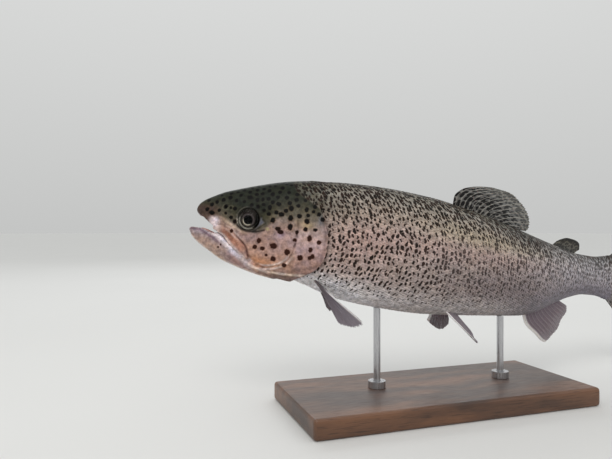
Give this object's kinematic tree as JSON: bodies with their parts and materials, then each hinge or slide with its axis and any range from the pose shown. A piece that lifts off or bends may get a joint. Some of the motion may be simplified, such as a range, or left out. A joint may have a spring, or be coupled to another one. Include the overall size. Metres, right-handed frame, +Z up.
{
  "type": "rainbow trout model",
  "caption": "Life-size rainbow trout in a swimming curve, mouth ajar and fins spread, held level over a flat wooden base by slim steel rods.",
  "frame": {"origin": "centre of the stand base's underside, on the surface that it stands on", "axes": "+X from the snout to the tail, +Y to the side that the fish's right flank faces, +Z up"},
  "size_m": [0.5307, 0.1202, 0.1923],
  "materials": {
    "head_skin": "wet smooth skin",
    "jaw_skin": "wet smooth skin",
    "mouth_lining": "wet",
    "body_skin": "fine wet scales",
    "eye": "gloss",
    "fin": "wet, slightly see-through",
    "pale_fin": "wet, slightly see-through",
    "stand_wood": "dark, satin",
    "stand_steel": "satin"
  },
  "bodies": {
    "root": {"head": "head_skin", "lower_jaw": "jaw_skin", "maxilla_left": "jaw_skin", "maxilla_right": "jaw_skin", "gill_cover_left": "head_skin", "gill_cover_right": "head_skin", "tongue": "mouth_lining", "eye_left": "eye", "eye_right": "eye", "trunk": "body_skin", "tail_stem": "body_skin", "dorsal_fin": "fin", "adipose_fin": "fin", "anal_fin": "fin", "caudal_fin": "fin", "pectoral_fin_left": "pale_fin", "pectoral_fin_right": "pale_fin", "pelvic_fin_left": "pale_fin", "pelvic_fin_right": "pale_fin", "stand_base": "stand_wood", "stand_rod_front": "stand_steel", "stand_rod_rear": "stand_steel", "stand_collar_front": "stand_steel", "stand_collar_rear": "stand_steel"}
  },
  "joints": []
}
